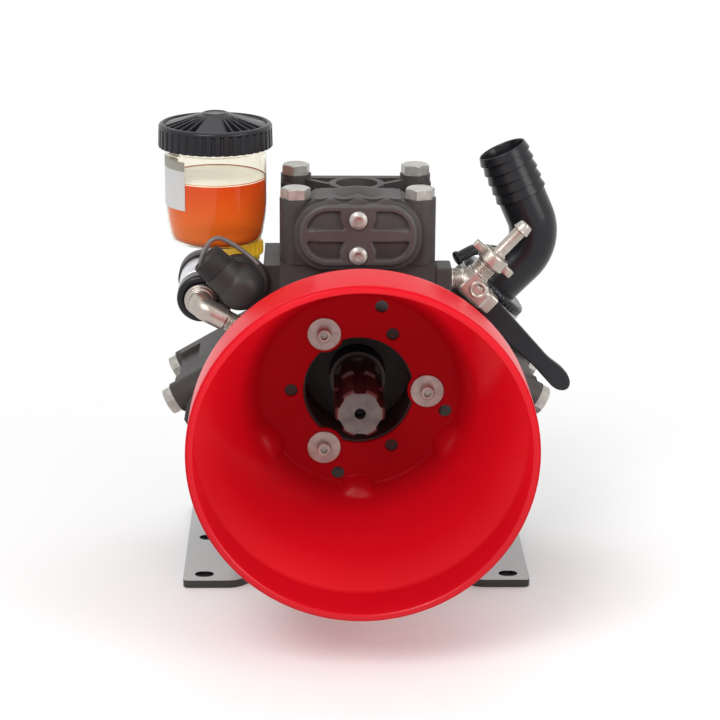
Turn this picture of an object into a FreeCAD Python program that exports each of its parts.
import FreeCAD, Part
import Sketcher
import math
import os

# Three-head diaphragm pump driven by a splined shaft, with a red shaft shield,
# an oil sight cup, a barbed suction elbow, a lever valve and two slotted feet.
# Millimetres, +Z up, the drive shaft points to -Y and +X is to the right.
# The origin is the centre of the foot bolt pattern, on the underside of the feet.

VECTOR = FreeCAD.Vector
X_WAY = VECTOR(1, 0, 0)
Y_WAY = VECTOR(0, 1, 0)
Z_WAY = VECTOR(0, 0, 1)

# Each driving dimension: its name, its value and what it measures.
DRIVING = [
    ("axis_height", 158, "shaft axis above the floor"),
    ("case_radius", 79, "crankcase barrel"),
    ("case_half", 52, "half the crankcase along the shaft"),
    ("seat_rise", 1, "head seats outside the barrel"),
    ("seat_depth", 60, "how far a head pad reaches into the barrel"),
    ("pad_back", 2, "head pads stand behind the crankcase's ends"),
    ("head_width", 113, "head across the shaft"),
    ("head_depth", 103, "head along the shaft"),
    ("head_base", 24, "thickness of a head's base plate"),
    ("head_height", 47.3, "seat to the top of the bolt posts"),
    ("bolt_across", 90, "head bolts across the shaft"),
    ("bolt_along", 80, "head bolts along the shaft"),
    ("post_radius", 11.5, "round bolt post"),
    ("wall_height", 42.5, "head's edge walls above the seat"),
    ("wall_width", 7, "head's edge walls"),
    ("side_recess", 4, "flat recess in a head's sides, between its posts"),
    ("rib_rise", 2, "head's ribs above its edge walls"),
    ("rib_width", 4.5, "head's diagonal ribs"),
    ("boss_radius", 20.5, "boss on top of a head"),
    ("boss_height", 49, "boss above the seat"),
    ("boss_recess", 15.5, "radius of the round recess in the boss"),
    ("recess_depth", 7, "depth of that recess"),
    ("cover_width", 85, "oval valve cover"),
    ("cover_height", 46, "oval valve cover"),
    ("cover_round", 21, "corner radius of the valve cover"),
    ("cover_rise", 23.7, "head's seat to the middle of the valve cover"),
    ("cover_thick", 8, "valve cover"),
    ("cover_pocket", 4, "depth of the four pockets in it"),
    ("cover_margin", 5, "rim round the pockets"),
    ("cover_bar", 9, "bar between the pockets"),
    ("cover_bridge", 21.6, "bridge that carries the cover's screws"),
    ("barrel_margin", 2.3, "valve housing outside the cover's rim"),
    ("barrel_seat_gap", 1, "valve housing above a head's seat"),
    ("barrel_depth", 36, "valve housing along the shaft"),
    ("barrel_proud", 1.5, "valve housing in front of the head's posts"),
    ("cover_screw_pitch", 26, "between a cover's two screws"),
    ("screw_rise", 22.5, "head's seat to the middle of the cover screws"),
    ("cover_screw_radius", 6.5, "button head"),
    ("cover_screw_high", 3.5, "button head"),
    ("bolt_flats", 19, "hexagon across flats"),
    ("bolt_head", 7.5, "hexagon head"),
    ("bolt_radius", 6, "bolt shank"),
    ("bolt_reach", 44, "bolt shank length"),
    ("hole_clear", 0.3, "clearance round a shank"),
    ("nose_radius", 62, "ring that carries the shaft shield"),
    ("nose_front", 96, "front of that ring before the head centres"),
    ("flange_thick", 10, "flange of the front ring"),
    ("flange_step", 3, "front ring and rear cover inside the barrel's edge"),
    ("nose_bore", 38, "recess round the shaft"),
    ("shaft_bore_gap", 0.4, "running clearance of the shaft"),
    ("journal_radius", 20, "shaft journal"),
    ("journal_front", 70, "front of the journal before the head centres"),
    ("shaft_inside", 36, "shaft end inside the crankcase"),
    ("spline_outer", 17.45, "spline tip radius"),
    ("spline_root", 14.9, "spline root radius"),
    ("spline_key", 8.7, "width of one spline"),
    ("spline_count", 6, "number of splines"),
    ("spline_stop", 6, "splines end before the journal"),
    ("shaft_front", 151, "shaft end before the head centres"),
    ("shaft_chamfer", 2, "chamfer of the shaft end"),
    ("lock_groove_back", 38, "lock groove behind the shaft end"),
    ("lock_groove_width", 6.8, "lock groove"),
    ("lock_groove_root", 14.7, "radius at the bottom of the lock groove"),
    ("centre_hole", 4, "radius of the centre hole in the shaft end"),
    ("centre_hole_deep", 14, "its depth"),
    ("shield_mouth", 116.5, "shield's outer radius at the mouth"),
    ("shield_root", 69, "shield's outer radius at its back plate"),
    ("shield_front", 241, "shield's mouth before the head centres"),
    ("shield_band", 44, "straight band behind the mouth"),
    ("shield_wall", 3, "shield wall"),
    ("shield_lip", 5.5, "thick lip round the mouth"),
    ("shield_lip_deep", 4, "depth of that lip"),
    ("shield_knee", 8, "length over which the cone turns into the band"),
    ("shield_hole", 39.5, "hole in the shield's back plate"),
    ("screw_circle", 49, "radius of the shield's screw circle"),
    ("pad_radius", 14, "lobe of the back plate round a screw"),
    ("washer_radius", 12, "shield washer"),
    ("washer_thick", 2, "shield washer"),
    ("screw_radius", 3, "shield screw shank"),
    ("screw_head", 5, "shield screw head radius"),
    ("screw_head_high", 6, "shield screw head"),
    ("screw_reach", 20, "shield screw below its head"),
    ("socket_radius", 2.9, "hexagon socket, half across its corners"),
    ("socket_deep", 3, "hexagon socket"),
    ("spare_hole", 4.8, "unused holes in the shield's back plate"),
    ("spare_circle", 48, "radius of the inner ring of unused holes"),
    ("spare_circle_outer", 62.6, "radius of the outer ring of unused holes"),
    ("rear_thick", 12, "rear cover flange"),
    ("rear_boss", 34, "radius of the rear cover's boss"),
    ("rear_boss_high", 20, "rear cover at its boss"),
    ("rear_draft", 6, "taper of that boss"),
    ("foot_thick", 6, "foot plate"),
    ("foot_outer", 128.5, "outer edge of a foot from the middle"),
    ("foot_width", 50.5, "foot plate across"),
    ("foot_length", 170, "foot plate along the shaft"),
    ("foot_round", 18, "inner corners of a foot plate"),
    ("foot_corner", 4, "outer corners of a foot plate"),
    ("bracket_length", 120, "upright part of a foot along the shaft"),
    ("bracket_drop", 118, "shaft axis to the top of a foot's upper flange"),
    ("bracket_inner", 8, "inner edge of the upper flange from the middle"),
    ("slot_across", 226, "foot slots across"),
    ("slot_pitch", 73, "foot slots along"),
    ("slot_length", 14, "foot slot end to end"),
    ("slot_width", 10.5, "foot slot"),
    ("pedestal_half", 36, "half the pedestal's width"),
    ("pedestal_length", 116, "foot of the pedestal along the shaft"),
    ("pedestal_base", 16, "height of the pedestal's foot"),
    ("foot_bolt_across", 44, "foot bolts across"),
    ("foot_bolt_along", 84, "foot bolts along"),
    ("foot_bolt_flats", 16, "foot bolt across flats"),
    ("foot_bolt_head", 6.4, "foot bolt head"),
    ("foot_bolt_radius", 5, "foot bolt shank"),
    ("duct_out", 12, "delivery duct beside the head"),
    ("duct_sink", 5.5, "top of the left duct below a head's seat"),
    ("shelf_sink", 22, "left duct's shelf below a head's seat"),
    ("duct_deep", 38, "left duct's underside below a head's seat"),
    ("right_sink", 3, "top of the right duct below a head's seat"),
    ("duct_front", 33, "front of the left duct before the head centres"),
    ("duct_lobe_back", 18, "back of the lobe behind the capped outlet"),
    ("duct_back", 34, "back of the left duct behind the head centres"),
    ("outlet_lobe", 12, "duct lobe behind the capped outlet"),
    ("outlet_across", 88.2, "capped outlet, left of the middle"),
    ("outlet_rise", 6.2, "capped outlet above the left duct's shelf"),
    ("outlet_flange", 19, "capped outlet's flange radius"),
    ("flange_across", 85.5, "capped outlet's flange, left of the middle"),
    ("outlet_flange_thick", 6, "capped outlet's flange"),
    ("outlet_radius", 13.3, "capped outlet's body"),
    ("outlet_length", 18.5, "joint of the capped outlet to the middle of its elbow"),
    ("ribcap_start", 15, "branch centre to the ribbed cap"),
    ("ribcap_radius", 12.4, "ribbed cap"),
    ("ribcap_length", 15.5, "ribbed cap"),
    ("port_across", 114.8, "left port, left of the middle"),
    ("port_fall", 9.5, "left port below the left duct's shelf"),
    ("port_radius", 18.3, "left port's sleeve and ring"),
    ("sleeve_step", 0.5, "sleeve inside the black ring's edge"),
    ("port_lobe", 19.5, "duct lobe behind the left port"),
    ("port_lobe_front", 24, "front of that lobe behind the head centres"),
    ("port_lobe_back", 40, "back of that lobe behind the head centres"),
    ("ring_front", 32, "front of the black ring before the head centres"),
    ("ring_length", 18, "black ring"),
    ("nickel_flange", 11.8, "round flange of the nickel elbow"),
    ("nickel_flange_thick", 6, "that flange"),
    ("nickel_radius", 8.6, "nickel elbow's body"),
    ("nickel_reach", 13, "flange front to the turn of the nickel elbow"),
    ("nickel_arm", 21, "turn to the end of the nickel elbow"),
    ("nickel_fall", 27, "nickel elbow's fall to the right, degrees"),
    ("nickel_thread", 7.4, "threaded end of the nickel elbow"),
    ("nickel_thread_long", 9, "threaded end of the nickel elbow"),
    ("cup_across", 103.7, "oil cup, left of the middle"),
    ("cup_radius", 37.3, "oil cup"),
    ("cup_rise", 27.5, "underside of the oil cup above the left duct's shelf"),
    ("cup_high", 72.5, "oil cup"),
    ("cup_wall", 1.2, "oil cup wall"),
    ("cup_taper", 5.3, "how much the cup narrows at its foot"),
    ("cup_taper_high", 27, "height over which it narrows"),
    ("oil_level", 24, "oil surface below the rim of the cup"),
    ("oil_gap", 0.2, "oil to the cup wall"),
    ("cap_radius", 42.2, "oil cap"),
    ("cap_edge", 16, "top edge of the oil cap above the cup's rim"),
    ("cap_lap", 1, "oil cap's skirt below the cup's rim"),
    ("cap_bevel", 1, "bevel of the oil cap's top edge"),
    ("cap_land", 4.2, "rim round the oil cap's cone"),
    ("cap_crown", 8.5, "radius of the small disc on the oil cap"),
    ("cup_foot", 7.5, "bevel round the oil cup's foot"),
    ("cap_dome", 9.5, "rise of the oil cap's cone"),
    ("neck_offset", 18, "oil neck to the right of the cup's middle"),
    ("neck_radius", 15, "oil neck under the cup"),
    ("neck_high", 10, "oil neck under the cup"),
    ("oil_port_radius", 12, "black fitting under the oil neck"),
    ("suction_back", 40, "suction elbow behind the head centres"),
    ("hose_radius", 18.3, "suction elbow's tube"),
    ("hose_bore", 15.5, "suction elbow's bore"),
    ("bore_stop", 8, "end of that bore before the bend"),
    ("barb_radius", 19.9, "top of a barb"),
    ("barb_count", 5, "number of barbs"),
    ("barb_pitch", 7.8, "between barbs"),
    ("mouth_across", 110.2, "elbow mouth, right of the middle"),
    ("mouth_up", 146.3, "elbow mouth above the shaft axis"),
    ("hose_straight", 56, "elbow mouth to the start of the bend"),
    ("bend_radius", 32, "suction elbow's centre line"),
    ("mouth_lean", 24, "mouth leans from upright, degrees"),
    ("bend_turn", 69, "turn of the suction elbow, degrees"),
    ("elbow_foot", 24, "straight stretch after the bend"),
    ("collar_radius", 30, "suction collar nut"),
    ("collar_length", 18, "suction collar nut"),
    ("suction_port", 23, "suction duct's port"),
    ("suction_port_long", 30, "suction duct's port before it is trimmed"),
    ("nipple_across", 77, "end of the black tube on the suction elbow, right of the middle"),
    ("nipple_sink", 12.5, "that end below a head's seat"),
    ("nipple_back", 20, "that end behind the head centres"),
    ("nipple_radius", 3.8, "black tube"),
    ("nipple_flange", 4.6, "collar at the tube's end"),
    ("nipple_flange_long", 4, "that collar"),
    ("valve_front", 38, "lever valve before the head centres"),
    ("valve_across", 68.5, "valve union, right of the middle"),
    ("valve_sink", 13.8, "valve union below a head's seat"),
    ("valve_stub", 8.5, "straight start of the valve union"),
    ("valve_slope", 43, "valve body's fall to the right, degrees"),
    ("union_radius", 8, "valve union"),
    ("union_length", 5, "valve union"),
    ("block_side", 17, "square valve block"),
    ("block_length", 25.2, "valve block"),
    ("tap_along", 12, "round port along the valve body"),
    ("tap_lift", 2.8, "that port off the valve body's middle line"),
    ("tap_radius", 6.5, "round port on the front of the valve block"),
    ("tap_proud", 2, "round port in front of the block"),
    ("tap_bore", 4, "its hole"),
    ("neck_start", 6, "valve's upper neck along the valve body"),
    ("valve_neck", 8.5, "valve's upper neck"),
    ("valve_neck_long", 21, "valve's upper neck"),
    ("wing_radius", 11.3, "wing nut"),
    ("wing_length", 10, "wing nut"),
    ("lug_side", 7, "wing nut's lug, square"),
    ("lug_reach", 18, "wing nut's lugs from its axis"),
    ("tail_radius", 5.2, "hose tail"),
    ("tail_length", 30, "hose tail beyond the wing nut"),
    ("tail_collar", 1.5, "collar of the hose tail"),
    ("tail_tip", 6.8, "hose tail's barb"),
    ("tail_barb", 8, "length of the hose tail's barb"),
    ("tail_bore", 3.2, "hose tail's bore"),
    ("tail_bore_long", 20, "hose tail's bore"),
    ("lever_across", 93.2, "lever pivot, right of the middle"),
    ("lever_sink", 17.9, "lever pivot below the valve union"),
    ("lever_back", 17, "back of the lever before the head centres"),
    ("lever_thick", 6, "lever"),
    ("lever_gap", 3, "lever to its gland"),
    ("lever_hub", 8.5, "lever hub radius"),
    ("lever_width", 12.5, "lever arm"),
    ("lever_length", 90.5, "pivot to the middle of the lever's round end"),
    ("paddle_radius", 7.5, "lever's round end"),
    ("lever_fall", 48.5, "lever's fall to the right, degrees"),
    ("gland_radius", 5.2, "gland round the lever's stem"),
    ("stem_radius", 3, "lever's stem"),
    ("stem_deep", 12, "lever's stem inside the gland"),
    ("stem_gap", 0.3, "clearance round the stem"),
]


class Size:
    """A number and the sheet formula that gives it, kept together through sums."""

    def __init__(self, number, formula):
        self.number = number
        self.formula = formula

    def __add__(self, other):
        other = size(other)
        return Size(self.number + other.number, f"({self.formula} + {other.formula})")

    def __sub__(self, other):
        other = size(other)
        return Size(self.number - other.number, f"({self.formula} - {other.formula})")

    def __mul__(self, other):
        other = size(other)
        return Size(self.number * other.number, f"({self.formula} * {other.formula})")

    def __truediv__(self, other):
        other = size(other)
        return Size(self.number / other.number, f"({self.formula} / {other.formula})")

    def __neg__(self):
        return Size(-self.number, f"(-{self.formula})")

    __radd__ = __add__
    __rmul__ = __mul__

    def __rsub__(self, other):
        return size(other) - self

    def __rtruediv__(self, other):
        return size(other) / self


def size(value):
    """Any plain number as a Size."""
    if isinstance(value, Size):
        return value
    return Size(float(value), f"({float(value):.6f})")


def root(value):
    """Square root of a Size."""
    return Size(math.sqrt(value.number), f"sqrt({value.formula})")


def cosine(angle):
    """Cosine of a Size in degrees."""
    angle = size(angle)
    return Size(math.cos(math.radians(angle.number)), f"cos({angle.formula} * 1 deg)")


def sine(angle):
    """Sine of a Size in degrees."""
    angle = size(angle)
    return Size(math.sin(math.radians(angle.number)), f"sin({angle.formula} * 1 deg)")


doc = FreeCAD.newDocument("diaphragm_pump")
sheet = doc.addObject("Spreadsheet::Sheet", "sizes")


class Sizes:
    """The driving dimensions by name."""


S = Sizes()
for row, (alias, value, meaning) in enumerate(DRIVING, start=1):
    sheet.set(f"A{row}", alias)
    sheet.set(f"B{row}", str(value))
    sheet.set(f"C{row}", meaning)
    sheet.setAlias(f"B{row}", alias)
doc.recompute()
for alias, value, meaning in DRIVING:
    setattr(S, alias, Size(float(sheet.get(alias)), f"sizes.{alias}"))

S.seat_distance = S.case_radius + S.seat_rise
S.cover_centre = S.seat_distance + S.cover_rise
S.cover_screw_centre = S.seat_distance + S.screw_rise
S.nose_flange = S.case_radius - S.flange_step
S.rear_radius = S.case_radius - S.flange_step
S.duct_top = S.seat_distance - S.duct_sink
S.duct_mid = S.seat_distance - S.shelf_sink
S.duct_low = S.seat_distance - S.duct_deep
S.outlet_up = S.duct_mid + S.outlet_rise
S.port_up = S.duct_mid - S.port_fall
S.cup_bottom = S.duct_mid + S.cup_rise
S.cup_top = S.cup_bottom + S.cup_high
S.valve_up = S.seat_distance - S.valve_sink
S.lever_up = S.valve_up - S.lever_sink
RIGHT_ANGLE = 90

finished = []


def bind(thing, **formulas):
    """Bind each property of a thing to its Size; a double underscore stands for a dot."""
    for name, value in formulas.items():
        thing.setExpression(name.replace("__", "."), size(value).formula)


def put(thing, x=0, y=0, z=0, turn=None):
    """Place a thing at three Sizes, turned by a rotation about its own origin."""
    place = VECTOR(size(x).number, size(y).number, size(z).number)
    thing.Placement = FreeCAD.Placement(place, turn or FreeCAD.Rotation())
    bind(thing, Placement__Base__x=x, Placement__Base__y=y, Placement__Base__z=z)
    return thing


def finish(thing, label):
    """Name a finished piece; its file takes this name."""
    thing.Label = label
    finished.append(thing)
    return thing


def about_shaft(thing, angle=0):
    """Stand a piece that was drawn round the shaft axis at that axis's height."""
    return put(thing, z=S.axis_height, turn=FreeCAD.Rotation(Y_WAY, angle))


def body(name):
    return doc.addObject("PartDesign::Body", name)


def sketch_on(owner, role, lift=0):
    """An empty sketch on one of a body's origin planes, lifted along its normal."""
    sketch = owner.newObject("Sketcher::SketchObject", owner.Name + "_sketch")
    plane = [p for p in owner.Origin.OriginFeatures if p.Role == role][0]
    sketch.AttachmentSupport = [(plane, "")]
    sketch.MapMode = "FlatFace"
    sketch.AttachmentOffset.Base = VECTOR(0, 0, size(lift).number)
    bind(sketch, AttachmentOffset__Base__z=lift)
    return sketch


def hold(sketch, kind, geometry, point, value):
    """Fix one coordinate of a sketch point to a Size."""
    datum = Sketcher.Constraint(kind, -1, 1, geometry, point, value.number)
    index = sketch.addConstraint(datum)
    sketch.setExpression(f"Constraints[{index}]", value.formula)


def add_polygon(sketch, corners):
    """A closed outline through corners given as pairs of Sizes."""
    corners = [(size(x), size(y)) for x, y in corners]
    first = sketch.GeometryCount
    spots = [VECTOR(x.number, y.number, 0) for x, y in corners]
    for start, end in zip(spots, spots[1:] + spots[:1]):
        sketch.addGeometry(Part.LineSegment(start, end), False)
    for index, (x, y) in enumerate(corners):
        after = first + (index + 1) % len(corners)
        sketch.addConstraint(Sketcher.Constraint("Coincident", first + index, 2, after, 1))
        hold(sketch, "DistanceX", first + index, 1, x)
        hold(sketch, "DistanceY", first + index, 1, y)
    return sketch


def add_circle(sketch, x, y, radius):
    """A circle whose centre and radius are Sizes."""
    x, y, radius = size(x), size(y), size(radius)
    circle = Part.Circle(VECTOR(x.number, y.number, 0), Z_WAY, radius.number)
    index = sketch.addGeometry(circle, False)
    hold(sketch, "DistanceX", index, 3, x)
    hold(sketch, "DistanceY", index, 3, y)
    datum = sketch.addConstraint(Sketcher.Constraint("Radius", index, radius.number))
    sketch.setExpression(f"Constraints[{datum}]", radius.formula)
    return sketch


def add_oval(sketch, left, low, right, high, radius):
    """A rectangle with rounded corners, from its four sides and its corner radius."""
    first = sketch.GeometryCount
    near, far = left + radius, right - radius
    under, over = low + radius, high - radius
    corners = ((near, under, 1), (far, under, 1.5), (far, over, 0), (near, over, 0.5))
    for x, y, start in corners:
        circle = Part.Circle(VECTOR(x.number, y.number, 0), Z_WAY, radius.number)
        sketch.addGeometry(Part.ArcOfCircle(circle, start * math.pi, (start + 0.5) * math.pi), False)
    sides = ((near, low, far, low), (right, under, right, over),
             (far, high, near, high), (left, over, left, under))
    for x1, y1, x2, y2 in sides:
        line = Part.LineSegment(VECTOR(x1.number, y1.number, 0), VECTOR(x2.number, y2.number, 0))
        sketch.addGeometry(line, False)
    for side in range(4):
        after = first + (side + 1) % 4
        sketch.addConstraint(Sketcher.Constraint("Tangent", first + side, 2, first + 4 + side, 1))
        sketch.addConstraint(Sketcher.Constraint("Tangent", first + 4 + side, 2, after, 1))
    for corner, (x, y, start) in enumerate(corners):
        hold(sketch, "DistanceX", first + corner, 3, x)
        hold(sketch, "DistanceY", first + corner, 3, y)
        datum = sketch.addConstraint(Sketcher.Constraint("Radius", first + corner, radius.number))
        sketch.setExpression(f"Constraints[{datum}]", radius.formula)


def hexagon(flats):
    """Corners of a hexagon from its width across flats, flats facing the X way."""
    reach = flats / 2 / cosine(30)
    return [(reach * sine(60 * k), reach * cosine(60 * k)) for k in range(6)]


def pad(owner, sketch, length, both=False, back=False):
    """Raise a sketch by a length, along its normal unless both or back is said."""
    feature = owner.newObject("PartDesign::Pad", owner.Name + "_pad")
    feature.Profile = sketch
    bind(feature, Length=length)
    feature.Midplane = both
    feature.Reversed = back
    sketch.Visibility = False
    doc.recompute()
    return feature


def pocket(owner, sketch, length, both=False, back=False):
    """Cut a sketch into a body by a length, against its normal unless back is said."""
    feature = owner.newObject("PartDesign::Pocket", owner.Name + "_pocket")
    feature.Profile = sketch
    bind(feature, Length=length)
    feature.Midplane = both
    feature.Reversed = back
    sketch.Visibility = False
    doc.recompute()
    return feature


def revolve(owner, sketch):
    """Turn a sketch round its upright axis."""
    feature = owner.newObject("PartDesign::Revolution", owner.Name + "_turned")
    feature.Profile = sketch
    feature.ReferenceAxis = (sketch, ["V_Axis"])
    feature.Angle = 360
    sketch.Visibility = False
    doc.recompute()
    return feature


def round_edges(owner, base, wanted, radius):
    """Round the edges of a feature whose index passes a test on the edge."""
    names = [f"Edge{i + 1}" for i, e in enumerate(base.Shape.Edges) if wanted(e)]
    feature = owner.newObject("PartDesign::Fillet", owner.Name + "_round")
    feature.Base = (base, names)
    bind(feature, Radius=radius)
    doc.recompute()
    return feature


def is_along(edge, way):
    """True for a straight edge that runs one way."""
    if edge.Curve.TypeId != "Part::GeomLine":
        return False
    return abs(abs(edge.tangentAt(edge.FirstParameter).dot(way)) - 1) < 1e-6


def turned(name, profile, along_y=True):
    """A body turned from a profile of (radius, position) pairs, round Y or Z."""
    owner = body(name)
    sketch = sketch_on(owner, "XY_Plane" if along_y else "XZ_Plane")
    add_polygon(sketch, profile)
    revolve(owner, sketch)
    return owner


def rod(name, radius, length, x=0, y=0, z=0, way=Z_WAY):
    """A cylinder from a point, along a way."""
    thing = doc.addObject("Part::Cylinder", name)
    bind(thing, Radius=radius, Height=length)
    return put(thing, x, y, z, FreeCAD.Rotation(Z_WAY, way))


def block(name, x, y, z, width, depth, height):
    """A box from its lowest corner."""
    thing = doc.addObject("Part::Box", name)
    bind(thing, Length=width, Width=depth, Height=height)
    return put(thing, x, y, z)


def fused(name, shapes):
    thing = doc.addObject("Part::MultiFuse", name)
    thing.Shapes = shapes
    thing.Refine = True
    doc.recompute()
    return thing


def cut(name, base, tools):
    thing = doc.addObject("Part::Cut", name)
    thing.Base = base
    thing.Tool = tools[0] if len(tools) == 1 else fused(name + "_tools", tools)
    thing.Refine = True
    doc.recompute()
    return thing


def set_of(name, things):
    """Several like pieces that don't touch, kept together in one node."""
    thing = doc.addObject("Part::Compound", name)
    thing.Links = things
    doc.recompute()
    return thing


HEAD_TURNS = {"top": 0, "right": 120, "left": -120}
SCREW_TURNS = (0, 120, 240)


def turned_point(across, out, angle):
    """A point given across and out from the shaft axis, turned about that axis."""
    across, out, c, s = size(across), size(out), cosine(angle), sine(angle)
    return across * c + out * s, out * c - across * s


def crankcase():
    """Barrel with a flat pad for each head, a pedestal below and the shaft's bore."""
    case = body("crankcase_body")
    pad(case, add_circle(sketch_on(case, "XZ_Plane"), 0, 0, S.case_radius), S.case_half * 2, both=True)
    half = S.head_width / 2
    low = S.seat_distance - S.seat_depth
    for angle in HEAD_TURNS.values():
        corners = [(-half, low), (half, low), (half, S.seat_distance), (-half, S.seat_distance)]
        outline = [turned_point(size(x), y, angle) for x, y in corners]
        seat_pad = add_polygon(sketch_on(case, "XZ_Plane"), outline)
        pad(case, seat_pad, (S.case_half - S.pad_back) * 2, both=True)
    foot = -S.bracket_drop
    side = S.pedestal_half
    for top, length in ((size(0), S.case_half * 2), (foot + S.pedestal_base, S.pedestal_length)):
        corners = [(-side, foot), (side, foot), (side, top), (-side, top)]
        pad(case, add_polygon(sketch_on(case, "XZ_Plane"), corners), length, both=True)
    bore = sketch_on(case, "XZ_Plane", S.case_half)
    add_circle(bore, 0, 0, S.journal_radius + S.shaft_bore_gap)
    pocket(case, bore, S.case_half + S.shaft_inside + S.shaft_bore_gap)
    return finish(about_shaft(case), "crankcase")


def head(side, angle):
    """Head casting: base plate, four round bolt posts, ribs, boss and two valve housings."""
    owner = body(side + "_head_body")
    half, deep = S.head_width / 2, S.head_depth / 2
    seat, post = S.seat_distance, S.post_radius
    plate = sketch_on(owner, "XY_Plane", seat)
    add_oval(plate, -half, -deep, half, deep, post)
    pad(owner, plate, S.head_base)
    walls = sketch_on(owner, "XY_Plane", seat)
    add_oval(walls, -half, -deep, half, deep, post)
    inner_x, inner_y = half - S.wall_width, deep - S.wall_width
    add_polygon(walls, [(-inner_x, -inner_y), (inner_x, -inner_y), (inner_x, inner_y), (-inner_x, inner_y)])
    pad(owner, walls, S.wall_height)
    posts = sketch_on(owner, "XY_Plane", seat)
    for across in (-1, 1):
        for along in (-1, 1):
            add_circle(posts, S.bolt_across / 2 * across, S.bolt_along / 2 * along, post)
    pad(owner, posts, S.head_height)
    rib = S.rib_width / 2
    for lean in (-1, 1):
        across, along = S.bolt_across / 2, S.bolt_along / 2 * lean
        far = root(across * across + along * along)
        dx, dy = along / far * rib, across / far * rib
        corners = [(-across - dx, -along + dy), (-across + dx, -along - dy), (across + dx, along - dy),
                   (across - dx, along + dy)]
        pad(owner, add_polygon(sketch_on(owner, "XY_Plane", seat), corners), S.wall_height + S.rib_rise)
    pad(owner, add_circle(sketch_on(owner, "XY_Plane", seat), 0, 0, S.boss_radius), S.boss_height)
    wide = S.cover_width / 2 + S.barrel_margin
    low = seat + S.barrel_seat_gap
    face = deep + S.barrel_proud
    front = sketch_on(owner, "XZ_Plane", face)
    add_oval(front, -wide, low, wide, S.cover_centre + S.cover_height / 2 + S.barrel_margin, S.cover_round)
    pad(owner, front, S.barrel_depth, back=True)
    thick = S.wall_width + S.barrel_proud
    rear = sketch_on(owner, "XZ_Plane", thick - face)
    add_oval(rear, -wide, low, wide, seat + S.wall_height, post)
    pad(owner, rear, thick, back=True)
    recess = sketch_on(owner, "XY_Plane", seat + S.boss_height)
    add_circle(recess, 0, 0, S.boss_recess)
    pocket(owner, recess, S.recess_depth)
    sides = sketch_on(owner, "XY_Plane", seat + S.head_height)
    gap = S.bolt_along / 2 - post
    for mirror in (-1, 1):
        near, far = (half - S.side_recess) * mirror, (half + S.side_recess) * mirror
        add_polygon(sides, [(near, -gap), (far, -gap), (far, gap), (near, gap)])
    pocket(owner, sides, S.head_height - S.head_base)
    holes = sketch_on(owner, "XY_Plane", seat + S.head_height)
    hole = S.bolt_radius + S.hole_clear
    for across in (-1, 1):
        for along in (-1, 1):
            add_circle(holes, S.bolt_across / 2 * across, S.bolt_along / 2 * along, hole)
    pocket(owner, holes, S.head_height)
    return finish(about_shaft(owner, angle), side + "_head")


def hex_bolt(name, flats, high, radius, reach):
    """Hexagon bolt: its head stands above z = 0 and its shank hangs below."""
    owner = body(name)
    pad(owner, add_polygon(sketch_on(owner, "XY_Plane"), hexagon(flats)), high)
    pad(owner, add_circle(sketch_on(owner, "XY_Plane"), 0, 0, radius), reach, back=True)
    return owner


def head_bolts():
    """Four bolts on every head, standing on its posts."""
    bolts = []
    for side, angle in HEAD_TURNS.items():
        for number, (across, along) in enumerate([(-1, -1), (1, -1), (-1, 1), (1, 1)]):
            bolt = hex_bolt(f"{side}_bolt_{number}", S.bolt_flats, S.bolt_head, S.bolt_radius, S.bolt_reach)
            x, z = turned_point(S.bolt_across / 2 * across, S.seat_distance + S.head_height, angle)
            put(bolt, x, S.bolt_along / 2 * along, S.axis_height + z, FreeCAD.Rotation(Y_WAY, angle))
            bolts.append(bolt)
    return finish(set_of("head_bolt_set", bolts), "head_bolts")


def valve_cover(side, angle):
    """Oval cover with four pockets round a bar and a bridge."""
    owner = body(side + "_cover_body")
    back = S.head_depth / 2 + S.barrel_proud
    wide, high, mid = S.cover_width / 2, S.cover_height / 2, S.cover_centre
    sketch = sketch_on(owner, "XZ_Plane", back)
    add_oval(sketch, -wide, mid - high, wide, mid + high, S.cover_round)
    pad(owner, sketch, S.cover_thick)
    pockets = sketch_on(owner, "XZ_Plane", back + S.cover_thick)
    rim, bar, bridge = S.cover_margin, S.cover_bar / 2, S.cover_bridge / 2
    inset = S.cover_round - S.cover_margin
    for across in (-1, 1):
        for up in (-1, 1):
            left, right = bridge * across, (wide - rim) * across
            near, far = mid + bar * up, mid + (high - rim) * up
            add_polygon(pockets, [(left, near), (right, near), (right - inset * across, far), (left, far)])
    pocket(owner, pockets, S.cover_pocket)
    return finish(about_shaft(owner, angle), side + "_valve_cover")


def cover_screws():
    """Two button-head screws on every valve cover."""
    screws = []
    face = S.head_depth / 2 + S.barrel_proud + S.cover_thick
    for side, angle in HEAD_TURNS.items():
        for up in (-1, 1):
            x, z = turned_point(size(0), S.cover_screw_centre + S.cover_screw_pitch / 2 * up, angle)
            screws.append(rod(f"{side}_cover_screw_{up + 1}", S.cover_screw_radius, S.cover_screw_high,
                              x, -face, S.axis_height + z, -Y_WAY))
    return finish(set_of("cover_screw_set", screws), "cover_screws")


def front_ring():
    """Flanged ring on the crankcase's front that carries the shaft shield."""
    start, front = S.case_half, S.nose_front
    owner = turned("front_ring_body", [
        (S.nose_bore, -start), (S.nose_flange, -start), (S.nose_flange, -start - S.flange_thick),
        (S.nose_radius, -start - S.flange_thick), (S.nose_radius, -front), (S.nose_bore, -front)])
    holes = sketch_on(owner, "XZ_Plane", front)
    for angle in SCREW_TURNS:
        x, z = turned_point(S.screw_circle, size(0), angle)
        add_circle(holes, x, z, S.screw_radius + S.hole_clear)
    pocket(owner, holes, S.screw_reach)
    return finish(about_shaft(owner), "front_ring")


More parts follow.
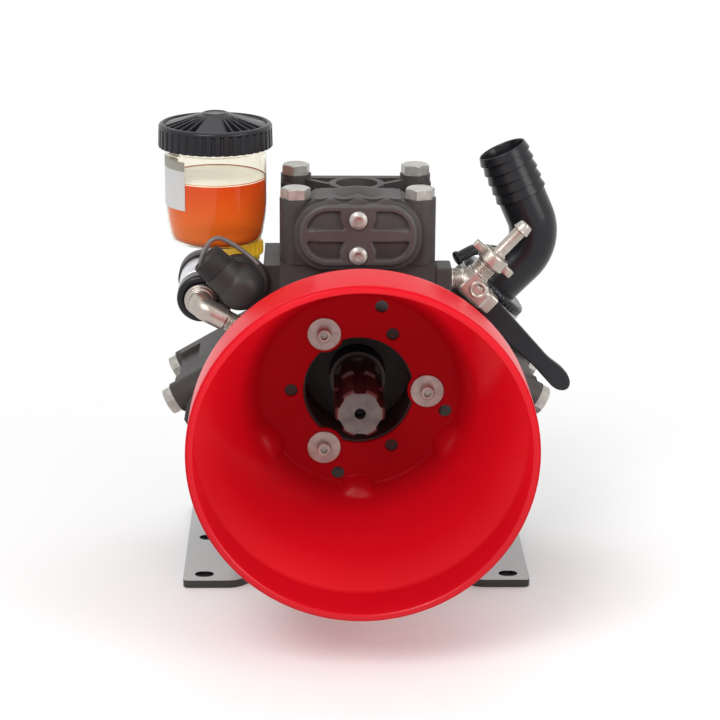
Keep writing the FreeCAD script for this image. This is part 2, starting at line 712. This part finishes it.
def rear_cover():
    """Stepped cover that closes the crankcase's back."""
    start = S.case_half
    owner = turned("rear_cover_body", [
        (size(0), start), (S.rear_radius, start), (S.rear_radius, start + S.rear_thick),
        (S.rear_boss + S.rear_draft, start + S.rear_thick), (S.rear_boss, start + S.rear_boss_high),
        (size(0), start + S.rear_boss_high)])
    return finish(about_shaft(owner), "rear_cover")


def drive_shaft():
    """Shaft with splines, a lock groove, a chamfered end and a centre hole."""
    tip = S.shaft_front
    groove_front = tip - S.lock_groove_back
    groove_back = groove_front - S.lock_groove_width
    outer, deep = S.spline_outer, S.lock_groove_root
    slope = outer - deep
    owner = turned("drive_shaft_body", [
        (size(0), -tip + S.centre_hole_deep), (S.centre_hole, -tip + S.centre_hole_deep - S.centre_hole / 2),
        (S.centre_hole, -tip), (outer - S.shaft_chamfer, -tip), (outer, -tip + S.shaft_chamfer),
        (outer, -groove_front - slope / 2), (deep, -groove_front), (deep, -groove_back),
        (outer, -groove_back + slope / 2),
        (outer, -S.journal_front), (S.journal_radius, -S.journal_front), (S.journal_radius, S.shaft_inside),
        (size(0), S.shaft_inside)])
    half_turn = 180 / S.spline_count
    key = S.spline_key / 2
    foot = root(S.spline_root * S.spline_root - key * key)
    groove = sketch_on(owner, "XZ_Plane", tip)
    reach = S.spline_outer * 1.3
    c, s = cosine(half_turn), sine(half_turn)
    corners = []
    for mirror in (1, -1):
        side = [(foot * s - key * c, foot * c + key * s), (reach * s - key * c, reach * c + key * s)]
        corners += [(x * mirror, z) for x, z in (side if mirror == 1 else side[::-1])]
    add_polygon(groove, corners)
    first = pocket(owner, groove, tip - S.journal_front - S.spline_stop)
    pattern = owner.newObject("PartDesign::PolarPattern", "spline_grooves")
    pattern.Originals = [first]
    pattern.Axis = (groove, ["N_Axis"])
    pattern.Angle = 360
    bind(pattern, Occurrences=S.spline_count)
    owner.Tip = pattern
    doc.recompute()
    return finish(about_shaft(owner), "drive_shaft")


def drive_shield():
    """Deep flared shield with a thick lip and a perforated back plate."""
    back = S.nose_front
    front = S.shield_front
    mouth, root_radius, wall = S.shield_mouth, S.shield_root, S.shield_wall
    band_end = front - S.shield_band
    lip_end = front - S.shield_lip_deep
    knee = band_end - S.shield_knee
    owner = turned("drive_shield_body", [
        (S.shield_hole, -back), (root_radius, -back), (mouth - wall, -knee), (mouth, -band_end),
        (mouth, -front), (mouth - S.shield_lip, -front), (mouth - S.shield_lip, -lip_end),
        (mouth - wall, -lip_end + wall), (mouth - wall, -band_end), (mouth - wall * 2, -knee),
        (root_radius - wall, -back - wall), (S.shield_hole, -back - wall)])
    lobes = sketch_on(owner, "XZ_Plane", back)
    for angle in SCREW_TURNS:
        x, z = turned_point(S.screw_circle, size(0), angle)
        add_circle(lobes, x, z, S.pad_radius)
    pad(owner, lobes, wall)
    holes = sketch_on(owner, "XZ_Plane", back + wall)
    for angle in SCREW_TURNS:
        x, z = turned_point(S.screw_circle, size(0), angle)
        add_circle(holes, x, z, S.screw_radius + S.hole_clear)
        x, z = turned_point(S.spare_circle, size(0), angle + 60)
        add_circle(holes, x, z, S.spare_hole)
    for angle in (-75.5, 14, 103):
        x, z = turned_point(S.spare_circle_outer, size(0), angle)
        add_circle(holes, x, z, S.spare_hole)
    pocket(owner, holes, wall)
    return finish(about_shaft(owner), "drive_shield")


def shield_fixings():
    """Three washers and three socket screws that hold the shield."""
    washers, screws = [], []
    face = S.nose_front + S.shield_wall
    for number, angle in enumerate(SCREW_TURNS):
        x, z = turned_point(S.screw_circle, size(0), angle)
        disc = turned(f"washer_body_{number}", [
            (S.screw_radius + S.hole_clear, 0), (S.washer_radius, 0), (S.washer_radius, -S.washer_thick),
            (S.screw_radius + S.hole_clear, -S.washer_thick)])
        washers.append(put(disc, x, -face, S.axis_height + z))
        screw = turned(f"screw_body_{number}", [
            (0, S.screw_reach - S.washer_thick), (S.screw_radius, S.screw_reach - S.washer_thick),
            (S.screw_radius, 0), (S.screw_head, 0), (S.screw_head, -S.screw_head_high),
            (0, -S.screw_head_high)])
        socket = sketch_on(screw, "XZ_Plane", S.screw_head_high)
        add_polygon(socket, hexagon(S.socket_radius * 2 * cosine(30)))
        pocket(screw, socket, S.socket_deep)
        screws.append(put(screw, x, -face - S.washer_thick, S.axis_height + z))
    finish(set_of("washer_set", washers), "shield_washers")
    finish(set_of("screw_set", screws), "shield_screws")


def foot(side, mirror):
    """Bent foot: slotted base flange, upright and upper flange."""
    owner = body(side + "_foot_body")
    outer = S.foot_outer * mirror
    inner = (S.foot_outer - S.foot_width) * mirror
    half = S.foot_length / 2
    corners = [(inner, -half), (outer, -half), (outer, half), (inner, half)]
    solid = pad(owner, add_polygon(sketch_on(owner, "XY_Plane"), corners), S.foot_thick)
    at_x = lambda e, x: is_along(e, Z_WAY) and abs(e.CenterOfMass.x - x.number) < 0.01
    solid = round_edges(owner, solid, lambda e: at_x(e, inner), S.foot_round)
    round_edges(owner, solid, lambda e: at_x(e, outer), S.foot_corner)
    upright = inner - S.foot_thick * mirror
    toe = inner + S.foot_thick * mirror
    top = S.axis_height - S.bracket_drop
    under = top - S.foot_thick
    shelf = S.bracket_inner * mirror
    bend = sketch_on(owner, "XZ_Plane")
    add_polygon(bend, [(toe, size(0)), (toe, S.foot_thick), (inner, S.foot_thick), (inner, top), (shelf, top),
                       (shelf, under), (upright, under), (upright, size(0))])
    pad(owner, bend, S.bracket_length, both=True)
    slots = sketch_on(owner, "XY_Plane", S.foot_thick)
    reach = (S.slot_length - S.slot_width) / 2
    for row in (-1, 0, 1):
        add_slot(slots, S.slot_across / 2 * mirror, S.slot_pitch * row, reach, S.slot_width / 2)
    pocket(owner, slots, S.foot_thick)
    holes = sketch_on(owner, "XY_Plane", top)
    for row in (-1, 1):
        add_circle(holes, S.foot_bolt_across / 2 * mirror, S.foot_bolt_along / 2 * row,
                   S.foot_bolt_radius + S.hole_clear)
    pocket(owner, holes, S.foot_thick)
    return finish(owner, side + "_foot")


def add_slot(sketch, x, y, reach, radius):
    """A slot along X: its middle, half its straight stretch and its end radius."""
    x, y = size(x), size(y)
    first = sketch.GeometryCount
    left, right = x - reach, x + reach
    arcs = ((right, -0.5, 0.5), (left, 0.5, 1.5))
    for centre, start, end in arcs:
        circle = Part.Circle(VECTOR(centre.number, y.number, 0), Z_WAY, radius.number)
        sketch.addGeometry(Part.ArcOfCircle(circle, start * math.pi, end * math.pi), False)
    for sign, (start, end) in ((1, (right, left)), (-1, (left, right))):
        level = y.number + radius.number * sign
        line = Part.LineSegment(VECTOR(start.number, level, 0), VECTOR(end.number, level, 0))
        sketch.addGeometry(line, False)
    joints = ((0, 2, 2, 1), (2, 2, 1, 1), (1, 2, 3, 1), (3, 2, 0, 1))
    for one, end_one, two, end_two in joints:
        sketch.addConstraint(Sketcher.Constraint("Tangent", first + one, end_one, first + two, end_two))
    hold(sketch, "DistanceX", first, 3, right)
    hold(sketch, "DistanceY", first, 3, y)
    hold(sketch, "DistanceX", first + 1, 3, left)
    hold(sketch, "DistanceY", first + 1, 3, y)
    datum = sketch.addConstraint(Sketcher.Constraint("Radius", first, radius.number))
    sketch.setExpression(f"Constraints[{datum}]", radius.formula)


def foot_bolts():
    """Four bolts up through the feet's upper flanges into the pedestal."""
    bolts = []
    under = S.axis_height - S.bracket_drop - S.foot_thick
    for number, (across, along) in enumerate([(-1, -1), (1, -1), (-1, 1), (1, 1)]):
        bolt = hex_bolt(f"foot_bolt_{number}", S.foot_bolt_flats, S.foot_bolt_head, S.foot_bolt_radius,
                        S.foot_thick)
        put(bolt, S.foot_bolt_across / 2 * across, S.foot_bolt_along / 2 * along, under,
            FreeCAD.Rotation(X_WAY, 180))
        bolts.append(bolt)
    return finish(set_of("foot_bolt_set", bolts), "foot_bolts")


def barrel_trim(name):
    """A copy of the crankcase barrel, for trimming what stands against it."""
    return rod(name, S.case_radius, S.case_half * 2, 0, S.case_half, S.axis_height, -Y_WAY)


def left_duct():
    """Delivery duct on the left, from the top head down to the left port."""
    up = S.axis_height
    half = S.head_width / 2
    left = -S.outlet_across
    back = S.duct_back
    shelf = up + S.duct_low
    rise = block("left_duct_rise", -half - S.duct_out, -S.duct_front, shelf, S.duct_out,
                 S.duct_front + back, S.duct_top - S.duct_low)
    clear_port = -S.port_across + S.port_radius + 1
    floor = block("left_duct_floor", clear_port, -S.duct_front, shelf, -half - clear_port,
                  S.duct_front + back, S.duct_mid - S.duct_low)
    web = block("left_duct_web", -S.port_across, S.port_lobe_front, shelf, S.port_across - half,
                back - S.port_lobe_front, S.duct_mid - S.duct_low)
    lobe = rod("left_duct_lobe", S.outlet_lobe, S.duct_front - S.duct_lobe_back, left, -S.duct_lobe_back,
               up + S.outlet_up, -Y_WAY)
    port = rod("left_duct_port", S.port_lobe, S.port_lobe_back - S.port_lobe_front,
               -S.port_across, S.port_lobe_back, up + S.port_up, -Y_WAY)
    solid = fused("left_duct_solid", [rise, floor, web, lobe, port])
    finish(cut("left_duct_body", solid, [barrel_trim("left_duct_trim")]), "left_duct")


def right_duct():
    """Delivery duct on the right, a short block beside the crankcase's upper pad."""
    half = S.head_width / 2
    top = S.seat_distance - S.right_sink
    arm = block("right_duct_arm", half, -S.valve_front - S.duct_out, S.axis_height + S.duct_mid,
                S.duct_out, S.duct_out * 2, top - S.duct_mid)
    finish(cut("right_duct_body", arm, [barrel_trim("right_duct_trim")]), "right_duct")


def direction(degrees):
    """A way in the X-Z plane, measured from +X towards +Z."""
    angle = math.radians(size(degrees).number)
    return VECTOR(math.cos(angle), 0, math.sin(angle))


def ahead(x, z, degrees, distance):
    """The point a distance ahead of (x, z) in the X-Z plane."""
    return x + distance * cosine(degrees), z + distance * sine(degrees)


def capped_outlet():
    """Black outlet elbow on the left duct, with a round flange and a ribbed cap."""
    up = S.axis_height + S.outlet_up
    left = -S.outlet_across
    front = -S.duct_front
    middle = front - S.outlet_length
    flange = rod("outlet_flange", S.outlet_flange, S.outlet_flange_thick, -S.flange_across, front, up, -Y_WAY)
    trunk = rod("outlet_trunk", S.outlet_radius, S.outlet_length, left, front, up, -Y_WAY)
    knuckle = doc.addObject("Part::Sphere", "outlet_knuckle")
    bind(knuckle, Radius=S.outlet_radius)
    put(knuckle, left, middle, up)
    lean = RIGHT_ANGLE * 1.5
    branch = rod("outlet_branch", S.outlet_radius, S.ribcap_start, left, middle, up, direction(lean))
    finish(fused("outlet_body_shape", [flange, trunk, knuckle, branch]), "outlet_body")
    x, z = ahead(left, up, lean, S.ribcap_start)
    cap = rod("ribbed_cap_shape", S.ribcap_radius, S.ribcap_length, x, middle, z, direction(lean))
    finish(cap, "ribbed_cap")


def left_port():
    """Bright sleeve and black ring on the left duct, with a nickel elbow in front."""
    up = S.axis_height + S.port_up
    left = -S.port_across
    front = -S.ring_front
    joint = front + S.ring_length
    finish(rod("port_ring_shape", S.port_radius, S.ring_length, left, joint, up, -Y_WAY), "port_ring")
    back = S.port_lobe_front
    sleeve = rod("port_sleeve_shape", S.port_radius - S.sleeve_step, back - joint, left, back, up, -Y_WAY)
    finish(sleeve, "port_sleeve")
    flange = rod("nickel_flange_disc", S.nickel_flange, S.nickel_flange_thick, left, front, up, -Y_WAY)
    turn = front - S.nickel_flange_thick - S.nickel_reach
    stem = rod("nickel_stem", S.nickel_radius, front - turn, left, front, up, -Y_WAY)
    ball = doc.addObject("Part::Sphere", "nickel_knuckle")
    bind(ball, Radius=S.nickel_radius)
    put(ball, left, turn, up)
    fall = -S.nickel_fall
    arm = rod("nickel_arm", S.nickel_radius, S.nickel_arm, left, turn, up, direction(fall))
    x, z = ahead(left, up, fall, S.nickel_arm)
    thread = rod("nickel_thread_end", S.nickel_thread, S.nickel_thread_long, x, turn, z, direction(fall))
    finish(fused("nickel_elbow_shape", [flange, stem, ball, arm, thread]), "nickel_elbow")


def oil_set():
    """Clear oil cup with its fill, finned cap, neck and the fitting below it."""
    left = -S.cup_across
    outer, wall = S.cup_radius, S.cup_wall
    low = outer - S.cup_taper
    foot = low - S.cup_foot
    floor = S.axis_height + S.cup_bottom
    rim = S.axis_height + S.cup_top
    knee = floor + S.cup_foot
    waist = floor + S.cup_taper_high
    cup = turned("oil_cup_body", [
        (0, floor), (foot, floor), (low, knee), (outer, waist), (outer, rim),
        (outer - wall, rim), (outer - wall, waist), (low - wall, knee + wall / 2),
        (foot - wall / 2, floor + wall), (0, floor + wall)], along_y=False)
    finish(put(cup, left), "oil_cup")
    inside = wall + S.oil_gap
    level = rim - S.oil_level
    fill = turned("oil_fill_body", [
        (0, floor + inside), (foot - wall / 2, floor + inside), (low - inside, knee + wall),
        (outer - inside, waist), (outer - inside, level), (0, level)], along_y=False)
    finish(put(fill, left), "oil_fill")
    skirt, edge, crown = rim - S.cap_lap, rim + S.cap_edge, rim + S.cap_edge + S.cap_dome
    bevel = S.cap_bevel
    land = S.cap_radius - S.cap_land
    cap = turned("oil_cap_body", [
        (0, rim), (outer + S.oil_gap, rim), (outer + S.oil_gap, skirt), (S.cap_radius, skirt),
        (S.cap_radius, edge - bevel), (S.cap_radius - bevel, edge), (land, edge),
        (S.cap_crown, crown), (0, crown)], along_y=False)
    finish(put(cap, left), "oil_cap")
    x = left + S.neck_offset
    neck_low = floor - S.neck_high
    finish(rod("oil_neck_shape", S.neck_radius, S.neck_high, x, 0, neck_low), "oil_neck")
    shelf = S.axis_height + S.duct_mid
    finish(rod("oil_port_shape", S.oil_port_radius, neck_low - shelf, x, 0, shelf), "oil_port")


def black_tube(inside):
    """Thin tube with a collar that runs from a point inside the suction elbow to the left."""
    x, y = S.nipple_across, S.nipple_back
    z = S.axis_height + S.seat_distance - S.nipple_sink
    run, level, rise = inside[0] - x, S.suction_back - y, inside[1] - z
    way = VECTOR(run.number, level.number, rise.number)
    long = root(run * run + level * level + rise * rise)
    return [rod("suction_nipple", S.nipple_radius, long, x, y, z, way),
            rod("suction_nipple_collar", S.nipple_flange, S.nipple_flange_long, x, y, z, way)]


def suction_side():
    """Barbed suction elbow, its collar nut and the duct port it stands on."""
    back = S.suction_back
    up = S.axis_height
    lean = S.mouth_lean - RIGHT_ANGLE
    end_way = lean - S.bend_turn
    mouth = (S.mouth_across, up + S.mouth_up)
    start = ahead(*mouth, lean, S.hose_straight)
    centre = ahead(*start, lean - RIGHT_ANGLE, S.bend_radius)
    bend_end = ahead(*centre, end_way + RIGHT_ANGLE, S.bend_radius)
    foot_end = ahead(*bend_end, end_way, S.elbow_foot)
    rise, crest, slope = S.barb_radius - S.hose_radius, S.barb_pitch * 0.64, S.barb_pitch * 0.12
    profile = [(S.hose_bore, 0), (S.barb_radius - rise, 0)]
    for k in range(int(S.barb_count.number)):
        at = S.barb_pitch * k
        profile += [(S.barb_radius, at + crest), (S.barb_radius, at + crest + slope),
                    (S.hose_radius, at + crest + slope * 1.5)]
        if k + 1 < S.barb_count.number:
            profile += [(S.hose_radius, at + S.barb_pitch)]
    inner_end = S.hose_straight - S.bore_stop
    profile += [(S.hose_radius, S.hose_straight), (0, S.hose_straight), (0, inner_end),
                (S.hose_bore, inner_end)]
    tube = turned("suction_tube", profile, along_y=False)
    put(tube, mouth[0], back, mouth[1], FreeCAD.Rotation(Z_WAY, direction(lean)))
    bend = doc.addObject("Part::Torus", "suction_bend")
    bind(bend, Radius1=S.bend_radius, Radius2=S.hose_radius, Angle3=S.bend_turn)
    bend.Angle1, bend.Angle2 = -180, 180
    out_way = end_way + RIGHT_ANGLE
    axes = FreeCAD.Rotation(direction(out_way), direction(out_way + RIGHT_ANGLE), -Y_WAY, "XYZ")
    put(bend, centre[0], back, centre[1], axes)
    way = direction(end_way)
    foot = rod("suction_foot", S.hose_radius, S.elbow_foot, bend_end[0], back, bend_end[1], way)
    nipple = black_tube(ahead(*centre, 0, S.bend_radius))
    finish(fused("suction_elbow_shape", [tube, bend, foot] + nipple), "suction_elbow")
    nut = rod("suction_collar_shape", S.collar_radius, S.collar_length, foot_end[0], back, foot_end[1], way)
    finish(nut, "suction_collar")
    seat = ahead(*foot_end, end_way, S.collar_length)
    port = rod("suction_port_rod", S.suction_port, S.suction_port_long, seat[0], back, seat[1], way)
    behind = block("suction_trim_back", 0, S.case_half, up - S.case_radius, S.case_radius * 2, S.case_half,
                   S.case_radius * 2)
    beside = doc.addObject("Part::Box", "suction_trim_head")
    bind(beside, Length=S.head_width, Width=S.head_depth * 2, Height=S.case_radius * 2)
    x, z = turned_point(-S.head_width / 2, 0, 120)
    put(beside, x, -S.head_depth, up + z, FreeCAD.Rotation(Y_WAY, 120))
    finish(cut("suction_duct_shape", port, [barrel_trim("suction_trim"), behind, beside]), "suction_duct")


def lever_valve():
    """Valve body on the right duct with its wing nut, hose tail and lever."""
    up = S.axis_height
    level = -S.valve_front
    fall = -S.valve_slope
    rise = RIGHT_ANGLE - S.valve_slope
    stub = (S.valve_across, up + S.valve_up)
    start = ahead(*stub, 0, S.valve_stub)
    ball = doc.addObject("Part::Sphere", "valve_knuckle")
    bind(ball, Radius=S.union_radius)
    put(ball, start[0], level, start[1])
    arm = rod("valve_stub_rod", S.union_radius, S.valve_stub, stub[0], level, stub[1], X_WAY)
    union = rod("valve_union", S.union_radius, S.union_length, start[0], level, start[1], direction(fall))
    side = S.block_side
    near = ahead(*ahead(*start, fall, S.union_length), rise, -side / 2)
    cube = doc.addObject("Part::Box", "valve_block")
    bind(cube, Length=S.block_length, Width=side, Height=side)
    put(cube, near[0], level - side / 2, near[1], FreeCAD.Rotation(Y_WAY, S.valve_slope.number))
    neck_start = ahead(*start, fall, S.neck_start)
    upward = direction(rise)
    neck = rod("valve_neck_rod", S.valve_neck, S.valve_neck_long, neck_start[0], level, neck_start[1], upward)
    tap = ahead(*ahead(*start, fall, S.tap_along), rise, S.tap_lift)
    boss = rod("valve_tap", S.tap_radius, side / 2 + S.tap_proud, tap[0], level, tap[1], -Y_WAY)
    pivot = (S.lever_across, up + S.lever_up)
    gland_back = -S.lever_back - S.lever_thick - S.lever_gap
    gland_front = level - side / 2
    gland_long = gland_back - gland_front
    gland = rod("valve_gland", S.gland_radius, gland_long, pivot[0], gland_front, pivot[1], Y_WAY)
    solid = fused("valve_body_solid", [ball, arm, union, cube, neck, boss, gland])
    tap_front = level - side / 2 - S.tap_proud
    bores = [rod("valve_tap_bore", S.tap_bore, side / 2, tap[0], tap_front, tap[1], Y_WAY),
             rod("valve_stem_bore", S.stem_radius + S.stem_gap, S.stem_deep + S.stem_gap,
                 pivot[0], gland_back - S.stem_deep - S.stem_gap, pivot[1], Y_WAY)]
    finish(cut("valve_body_shape", solid, bores), "valve_body")
    nut_start = ahead(*neck_start, rise, S.valve_neck_long)
    nut = rod("wing_nut_disc", S.wing_radius, S.wing_length, nut_start[0], level, nut_start[1], upward)
    lug = doc.addObject("Part::Box", "wing_nut_lugs")
    bind(lug, Length=S.lug_reach * 2, Width=S.lug_side, Height=S.lug_side)
    corner = ahead(*ahead(*nut_start, rise, (S.wing_length - S.lug_side) / 2), fall, -S.lug_reach)
    put(lug, corner[0], level - S.lug_side / 2, corner[1], FreeCAD.Rotation(Y_WAY, S.valve_slope.number))
    finish(fused("wing_nut_shape", [nut, lug]), "wing_nut")
    tail_start = ahead(*nut_start, rise, S.wing_length)
    collar, barb, tip = S.tail_radius + S.tail_collar, S.tail_length - S.tail_barb, S.tail_length
    deep = S.tail_length - S.tail_bore_long
    tail = turned("hose_tail_body", [
        (0, 0), (collar, 0), (collar, S.tail_collar * 2), (S.tail_radius, S.tail_collar * 2),
        (S.tail_radius, barb), (S.tail_tip, barb), (S.tail_tip, barb + S.tail_barb / 3),
        (S.tail_tip - S.tail_collar, tip), (S.tail_bore, tip), (S.tail_bore, deep), (0, deep)], along_y=False)
    put(tail, tail_start[0], level, tail_start[1], FreeCAD.Rotation(Z_WAY, direction(rise)))
    finish(tail, "hose_tail")
    lever(pivot)


def lever(pivot):
    """Flat lever with a hub, a round end and a stem that runs in the valve body."""
    fall = -S.lever_fall
    front = -S.lever_back - S.lever_thick
    hub = rod("lever_hub_disc", S.lever_hub, S.lever_thick, pivot[0], front, pivot[1], Y_WAY)
    end = ahead(*pivot, fall, S.lever_length)
    paddle = rod("lever_paddle", S.paddle_radius, S.lever_thick, end[0], front, end[1], Y_WAY)
    arm = doc.addObject("Part::Box", "lever_arm")
    bind(arm, Length=S.lever_length, Width=S.lever_thick, Height=S.lever_width)
    corner = ahead(*pivot, fall - RIGHT_ANGLE, S.lever_width / 2)
    put(arm, corner[0], front, corner[1], FreeCAD.Rotation(Y_WAY, S.lever_fall.number))
    stem = rod("lever_stem", S.stem_radius, S.lever_gap + S.stem_deep, pivot[0], front, pivot[1], -Y_WAY)
    finish(fused("valve_lever_shape", [hub, paddle, arm, stem]), "valve_lever")


crankcase()
front_ring()
rear_cover()
drive_shaft()
drive_shield()
shield_fixings()
for side, angle in HEAD_TURNS.items():
    head(side, angle)
    valve_cover(side, angle)
head_bolts()
cover_screws()
foot("left", -1)
foot("right", 1)
foot_bolts()
left_duct()
right_duct()
capped_outlet()
left_port()
oil_set()
suction_side()
lever_valve()
doc.recompute()

for thing in doc.Objects:
    if "Invalid" in thing.State or "Error" in thing.State:
        raise RuntimeError(f"{thing.Label} failed: {thing.State}")
for thing in finished:
    if thing.Shape.isNull() or not thing.Shape.isValid():
        raise RuntimeError(f"{thing.Label} has no valid shape")

os.makedirs("parts", exist_ok=True)
for thing in finished:
    thing.Shape.exportStep(f"parts/{thing.Label}.step")
    print(f"{thing.Label}: {len(thing.Shape.Solids)} solids, {thing.Shape.Volume / 1000:.1f} cm3")
